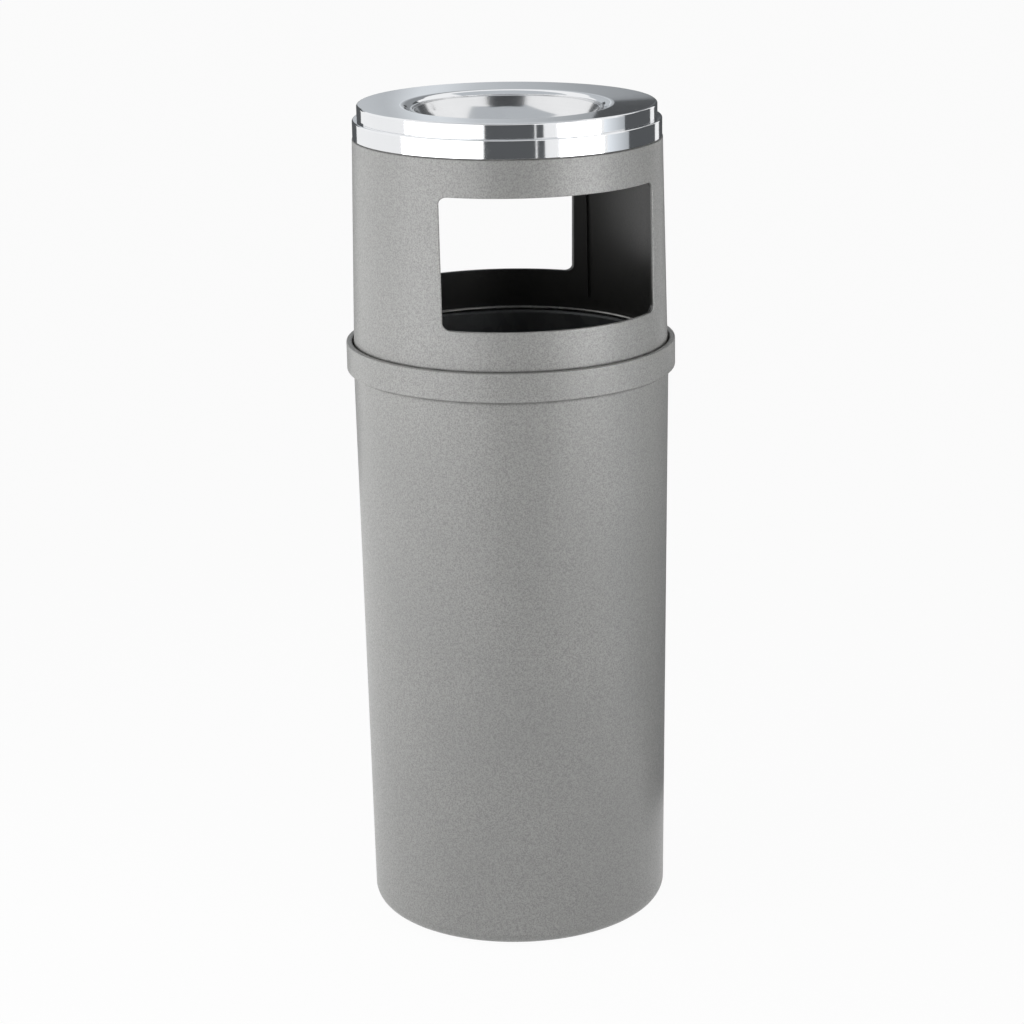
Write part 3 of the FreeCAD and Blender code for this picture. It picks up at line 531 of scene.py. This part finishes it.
def makeAshBowl():
    kit = ashBowl
    low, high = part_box("ash_bowl")
    rim, rimTop, sheet, cut = high.x, high.z, kit["sheet"], kit["cutRound"]
    seat = rimTop - kit["rimHeight"]
    flange, throat = seat + sheet, rim - kit["throatInset"]
    floorTop, floorEdge = flange - kit["depth"], throat - kit["slope"]
    outerEdge = floorEdge + sheet - sheet * kit["slope"] / kit["depth"]
    corners = [
        (0, floorTop - sheet, 0), (outerEdge, floorTop - sheet, kit["floorRound"] + sheet),
        (throat + sheet, seat, cut), (rim, seat, cut), (rim, rimTop, kit["rimRound"]),
        (rim - kit["rimWidth"], rimTop, kit["rimRound"]), (rim - kit["rimWidth"], flange, cut),
        (throat, flange, kit["entryRound"]), (floorEdge, floorTop, kit["floorRound"]), (0, floorTop, 0),
    ]
    return turnedPiece("ashBowl", corners, kit["steps"], kit["turns"], poled=True)


finishPiece(makeTrimRing(), brightBand, "hood", "polished_metal", "trim_ring")
finishPiece(makeAshtrayCap(), brightBand, "ashtray", "polished_metal", "ashtray_top")
finishPiece(makeAshBowl(), brightBowl, "bowl", "polished_metal", "ash_bowl")


# pieces whose solids are right keep them and take a finish
finishes = {
    "base_shell": greyBase, "hood_shell": greyHood,
    "liner_wall": zincSheet, "liner_floor": zincSheet, "liner_ear_left": zincSheet, "liner_ear_right": zincSheet,
    "liner_rim_wire": steelWire, "ear_rivets": steelWire, "liner_bail": steelWire,
    "trim_ring_screws": steelWire, "locating_tabs": steelWire,
}
for nodeName, finish in finishes.items():
    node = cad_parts[nodeName]
    node.data.materials.clear()
    node.data.materials.append(finish)
print("finishes set on", len(finishes), "solids")


# studio: a wide pale floor, soft boxes close on both sides, and dim panels that only mirrored rays meet
studio = {
    "floorHalf": 30.0,
    "floorGrey": (0.86, 0.86, 0.86, 1),
    "ambient": 0.278,
    "whiteShare": 0.95,
    "ceiling": (3.6, 1.45, 0.55),       # height, half width, grey
    "panelTint": (0.955, 1.0, 1.045, 1),
    "panelColumns": 193,
}
lamps = [
    # name, turn to the right of the camera, distance, height, width, tall, watts, and whether it is mirrored
    ("leftFrontSoftbox", -48, 1.1, 0.78, 1.3, 0.7, 5.7, True),
    ("leftSideSoftbox", -92, 1.2, 0.90, 1.4, 0.8, 6.9, False),
    ("rightSoftbox", 52, 1.0, 0.82, 0.6, 0.65, 4.3, True),
]
panels = [
    # name, distance, low, high, turns, and the grey at each turn
    ("centrePanel", 1.2, 0.0, 1.6, (-15.9, 18.7), (0.105, 0.105)),
    ("centreHighPanel", 0.8, 1.95, 2.70, (-33.0, 20.0, 37.0), (0.07, 0.07, 0.14)),
    ("centreEdgePanel", 1.2, 0.0, 1.05, (19.8, 25.0), (0.105, 0.105)),
    ("rightEdgePanel", 0.8, 0.0, 1.05, (70.0, 76.0, 84.0, 90.5), (0.98, 0.80, 0.60, 0.46)),
    ("rightPanel", 0.8, 0.0, 1.40, (90.5, 129.0), (0.10, 0.10)),
    ("rightRearPanel", 0.8, 0.0, 1.40, (139.5, 160.0), (0.09, 0.09)),
    ("rightLowPanel", 0.41, 0.0, 0.62, (92.0, 140.0), (0.14, 0.14)),
    ("leftPanel", 2.0, 0.0, 1.05, (-180.0, -144.0), (0.10, 0.10)),
    ("leftHighPanel", 2.0, 1.05, 1.55, (-165.0, -138.0), (0.10, 0.10)),
    ("rearPanel", 3.0, 1.05, 3.2,
     (150.0, 173.0, 175.5, 177.0, 178.5, 180.0, 181.1, 182.4, 183.2, 184.4, 185.4, 215.0),
     (0.30, 0.28, 0.34, 0.37, 0.45, 0.51, 0.56, 0.74, 0.73, 0.50, 0.54, 0.60)),
    ("rearDarkPanel", 2.9, 1.15, 1.43, (170.0, 176.6), (0.08, 0.08)),
]


# a sheet standing on an arc round the can; its grey runs evenly from each given turn to the next
def curvedPanel(name, distance, low, high, turns, greys):
    columns = studio["panelColumns"]
    turn = np.linspace(turns[0], turns[-1], columns)
    grey = np.tile(np.interp(turn, turns, greys), 2)
    angle = np.tile(np.radians(turn + camera["azimuth"]), 2)
    points = np.stack([np.sin(angle) * distance, -np.cos(angle) * distance, np.repeat([low, high], columns)], 1)
    start = np.arange(columns - 1)
    addPanel(name, points, np.stack([start, start + 1, start + columns + 1, start + columns], 1), grey)


def ceilingPanel(height, half, grey):
    corner = np.array([[-half, -half, height], [half, -half, height],
                       [half, half, height], [-half, half, height]])
    addPanel("ceilingPanel", corner, np.array([[0, 1, 2, 3]]), np.full(4, grey))


# only mirrored rays meet a panel, so it neither lights the can nor shades it
def addPanel(name, points, faces, grey):
    mesh = bpy.data.meshes.new(name)
    mesh.from_pydata(points.tolist(), [], faces.tolist())
    mesh.attributes.new("grey", "FLOAT", "POINT").data.foreach_set("value", grey)
    panel = addObject(name, mesh)
    material, tree = emptyMaterial(name)
    shade = addNode(tree, "ShaderNodeAttribute", attribute_name="grey").outputs["Fac"]
    glow = addNode(tree, "ShaderNodeEmission", {"Color": studio["panelTint"], "Strength": shade})
    addNode(tree, "ShaderNodeOutputMaterial", {"Surface": glow.outputs[0]})
    mesh.materials.append(material)
    panel.visible_camera = panel.visible_diffuse = panel.visible_shadow = panel.visible_transmission = False


# 1 for a ray that sees a surface straight, mirrored or through glass, so that floor and sky can show white
def seenRay(tree):
    path = addNode(tree, "ShaderNodeLightPath").outputs
    seen = mathOf(tree, "MAXIMUM", path["Is Camera Ray"], path["Is Glossy Ray"])
    return mathOf(tree, "MAXIMUM", seen, path["Is Transmission Ray"])


def makeFloor():
    half = studio["floorHalf"]
    mesh = bpy.data.meshes.new("paleFloor")
    corners = [(-half, -half, 0), (half, -half, 0), (half, half, 0), (-half, half, 0)]
    mesh.from_pydata(corners, [], [(0, 1, 2, 3)])
    floor = addObject("paleFloor", mesh)
    material, tree = emptyMaterial("paleFloor")
    matt = addNode(tree, "ShaderNodeBsdfDiffuse", {"Color": studio["floorGrey"]})
    white = addNode(tree, "ShaderNodeEmission", {"Color": (1, 1, 1, 1), "Strength": 1.0})
    share = mathOf(tree, "MULTIPLY", seenRay(tree), studio["whiteShare"])
    mixed = addNode(tree, "ShaderNodeMixShader", {0: share, 1: matt.outputs[0], 2: white.outputs[0]})
    addNode(tree, "ShaderNodeOutputMaterial", {"Surface": mixed.outputs[0]})
    mesh.materials.append(material)


def makeWorld():
    world = bpy.data.worlds.new("paleStudio")
    scene.world = world
    world.use_nodes = True
    tree = world.node_tree
    tree.nodes.clear()
    level = spread(tree, seenRay(tree), 0.0, 1.0, studio["ambient"], 1.0)
    sky = addNode(tree, "ShaderNodeBackground", {"Color": (1, 1, 1, 1), "Strength": level})
    addNode(tree, "ShaderNodeOutputWorld", {"Surface": sky.outputs[0]})


def makeLamp(name, turn, distance, height, width, tall, watts, mirrored):
    light = bpy.data.lights.new(name, "AREA")
    light.shape, light.size, light.size_y, light.energy = "RECTANGLE", width, tall, watts
    lamp = addObject(name, light)
    lamp.location = around(turn, distance, height)
    lamp.rotation_euler = math.pi / 2, 0, math.radians(camera["azimuth"] + turn)
    lamp.visible_camera, lamp.visible_glossy = False, mirrored


makeFloor()
makeWorld()
for row in lamps:
    makeLamp(*row)
for row in panels:
    curvedPanel(*row)
ceilingPanel(*studio["ceiling"])
print("studio set")
